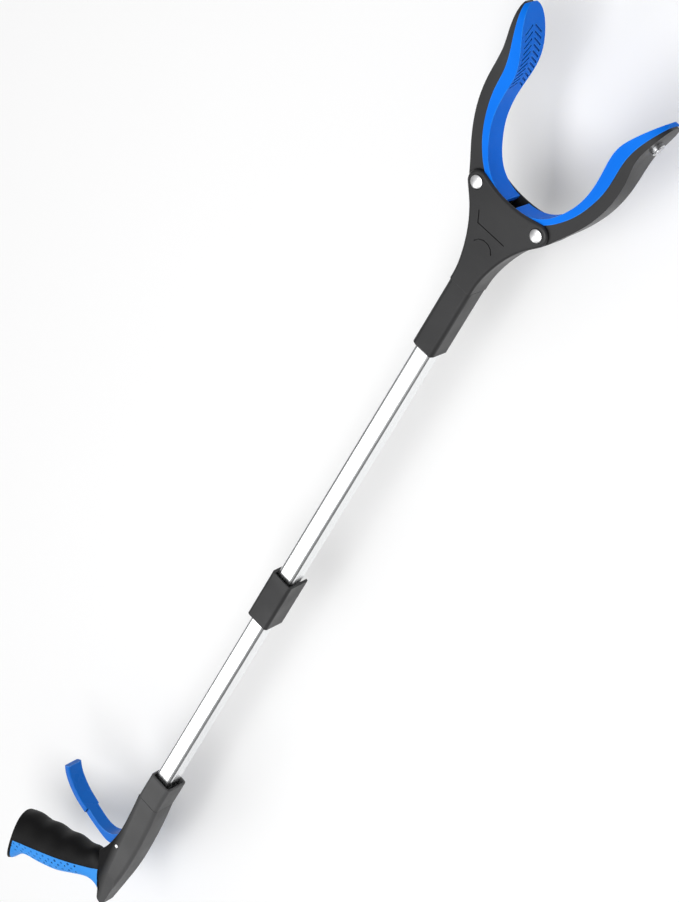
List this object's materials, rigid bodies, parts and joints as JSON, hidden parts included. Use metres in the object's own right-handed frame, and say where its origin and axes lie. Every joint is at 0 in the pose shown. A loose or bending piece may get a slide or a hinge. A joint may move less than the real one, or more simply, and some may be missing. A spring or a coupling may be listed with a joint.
{
  "type": "folding pick-up reacher",
  "caption": "Folding pick-up reacher: squeeze-trigger handle, square aluminium shaft with a mid fold, and two curved soft-lined jaws that close together.",
  "frame": {"origin": "on the shaft's centre line at the fold, level with the hinge pins along the shaft, where a storage clip would hold the fold housing", "axes": "+Y along the shaft towards the jaws, +X to the side with the handle's spine and the right jaw, +Z out of the face with the domed rivet heads; the tool lies flat"},
  "size_m": [0.1398, 0.8184, 0.0286],
  "materials": {
    "charcoal_plastic": "fine satin grain",
    "charcoal_spine": "fine satin grain",
    "soft_blue": "matte, soft touch",
    "blue_plastic": "satin",
    "bare_aluminium": "bright drawn",
    "rivet_metal": "polished dome",
    "steel": "zinc plated",
    "inner_plastic": "natural moulded",
    "magnet_metal": "nickel plated"
  },
  "bodies": {
    "handle": {"handle_shell_front": "charcoal_plastic", "handle_shell_back": "charcoal_plastic", "handle_screws": "steel", "handle_collar": "charcoal_plastic", "grip_overmould": "soft_blue", "trigger_pin": "rivet_metal", "cable_roller_pin": "steel", "lower_tube": "bare_aluminium", "fold_housing": "charcoal_plastic", "fold_pins": "steel", "pull_cable_lower": "steel"},
    "trigger": {"trigger": "blue_plastic", "cable_end_barrel": "steel"},
    "roller": {"cable_roller": "inner_plastic"},
    "upper_shaft": {"fold_knuckle": "inner_plastic", "upper_tube": "bare_aluminium", "pull_cable_upper": "steel", "neck_sleeve": "charcoal_plastic", "yoke_shell_front": "charcoal_plastic", "yoke_shell_back": "charcoal_plastic", "yoke_screws": "steel", "jaw_rivet_left": "rivet_metal", "jaw_rivet_right": "rivet_metal", "spring_seat": "steel"},
    "puller": {"pull_block": "inner_plastic", "cable_ferrule": "steel", "return_spring": "steel"},
    "jaw_left": {"jaw_arm_left": "charcoal_plastic", "jaw_pad_left": "soft_blue", "drive_pin_left": "steel"},
    "jaw_right": {"jaw_arm_right": "charcoal_plastic", "jaw_pad_right": "soft_blue", "drive_pin_right": "steel", "magnet_cup": "steel", "magnet": "magnet_metal"}
  },
  "joints": [
    {"name": "fold", "type": "hinge", "parent": "handle", "child": "upper_shaft", "pos_m": [0, 0, -0.0073], "axis": [-1, 0, 0], "range_deg": [0, 175]},
    {"name": "trigger", "type": "hinge", "parent": "handle", "child": "trigger", "pos_m": [-0.0022, -0.2725, 0], "axis": [0, 0, 1], "range_deg": [0, 36], "stiffness_Nm_per_rad": 0.5, "springref_deg": -22.92},
    {"name": "roller_spin", "type": "hinge", "parent": "handle", "child": "roller", "pos_m": [0.0035, -0.312, 0], "axis": [0, 0, 1], "range_deg": [0, 96]},
    {"name": "jaw_left_pivot", "type": "hinge", "parent": "upper_shaft", "child": "jaw_left", "pos_m": [-0.0241, 0.3343, 0], "axis": [0, 0, -1], "range_deg": [0, 27.6]},
    {"name": "jaw_right_pivot", "type": "hinge", "parent": "upper_shaft", "child": "jaw_right", "pos_m": [0.0241, 0.3343, 0], "axis": [0, 0, 1], "range_deg": [0, 27.6]},
    {"name": "puller_slide", "type": "slide", "parent": "upper_shaft", "child": "puller", "axis": [0, -1, 0], "range_m": [0, 0.0059], "deforming": ["return_spring"]}
  ],
  "couplings": [
    {"joint": "jaw_left_pivot", "follows": "trigger", "ratio": 0.76389},
    {"joint": "jaw_right_pivot", "follows": "trigger", "ratio": 0.76389},
    {"joint": "puller_slide", "follows": "trigger", "m_per_rad": 0.00926},
    {"joint": "roller_spin", "follows": "trigger", "ratio": 2.642}
  ]
}
